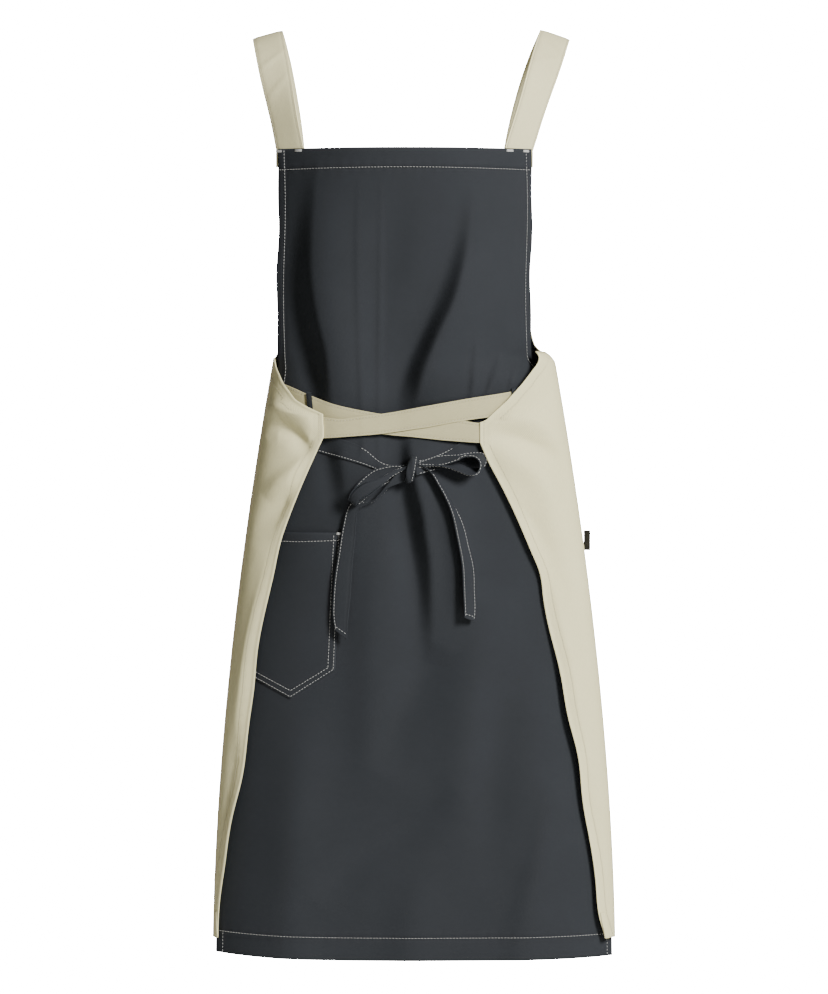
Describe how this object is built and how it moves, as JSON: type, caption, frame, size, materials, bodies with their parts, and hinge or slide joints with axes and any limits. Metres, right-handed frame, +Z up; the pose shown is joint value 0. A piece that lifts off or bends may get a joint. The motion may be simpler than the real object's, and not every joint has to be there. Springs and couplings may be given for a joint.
{
  "type": "wrap apron",
  "caption": "Two-colour wrap apron with a dark bib and skirt, light wings tied across it, a bow, pockets and shoulder straps.",
  "frame": {"origin": "on the shoulder line, midway between the tops of the two shoulder straps, above the side seams' plane", "axes": "+Z up, +X to the right as seen from the dark bib's side, -Y towards a viewer who faces the dark bib"},
  "size_m": [0.4436, 0.1845, 1.024],
  "materials": {
    "dark_twill": "charcoal cotton-polyester twill, matt with a faint sheen",
    "light_twill": "stone-coloured cotton-polyester twill, matt",
    "label_ribbon": "black woven ribbon, blank",
    "thread": "off-white polyester sewing thread"
  },
  "bodies": {
    "apron": {"front_panel": "dark_twill", "front_pocket": "dark_twill", "back_panel": "light_twill", "wing_left": "light_twill", "wing_right": "light_twill", "wing_tab_left": "light_twill", "wing_tab_right": "light_twill", "hip_pocket": "light_twill", "shoulder_strap_left": "light_twill", "shoulder_strap_right": "light_twill", "waist_strap_left": "light_twill", "waist_strap_right": "light_twill", "belt_loop_left": "dark_twill", "belt_loop_right": "dark_twill", "tie_band_left": "dark_twill", "tie_band_right": "dark_twill", "bow_knot": "dark_twill", "bow_loop_left": "dark_twill", "bow_loop_right": "dark_twill", "tie_lead_left": "dark_twill", "tie_lead_right": "dark_twill", "bib_bar_tacks": "thread", "pocket_bar_tacks": "thread"},
    "left_tail": {"tie_tail_left": "dark_twill"},
    "right_tail": {"tie_tail_right": "dark_twill"},
    "label": {"flag_label": "label_ribbon"}
  },
  "joints": [
    {"name": "left_tail_lift", "type": "hinge", "parent": "apron", "child": "left_tail", "pos_m": [-0.068, -0.058, -0.524], "axis": [-1, 0, 0], "range_deg": [0, 70]},
    {"name": "right_tail_lift", "type": "hinge", "parent": "apron", "child": "right_tail", "pos_m": [0.027, -0.0605, -0.5], "axis": [-1, 0, 0], "range_deg": [0, 70]},
    {"name": "label_flap", "type": "hinge", "parent": "apron", "child": "label", "pos_m": [0.1884, 0, -0.56], "axis": [0, 0, 1], "range_deg": [-20, 60]}
  ]
}
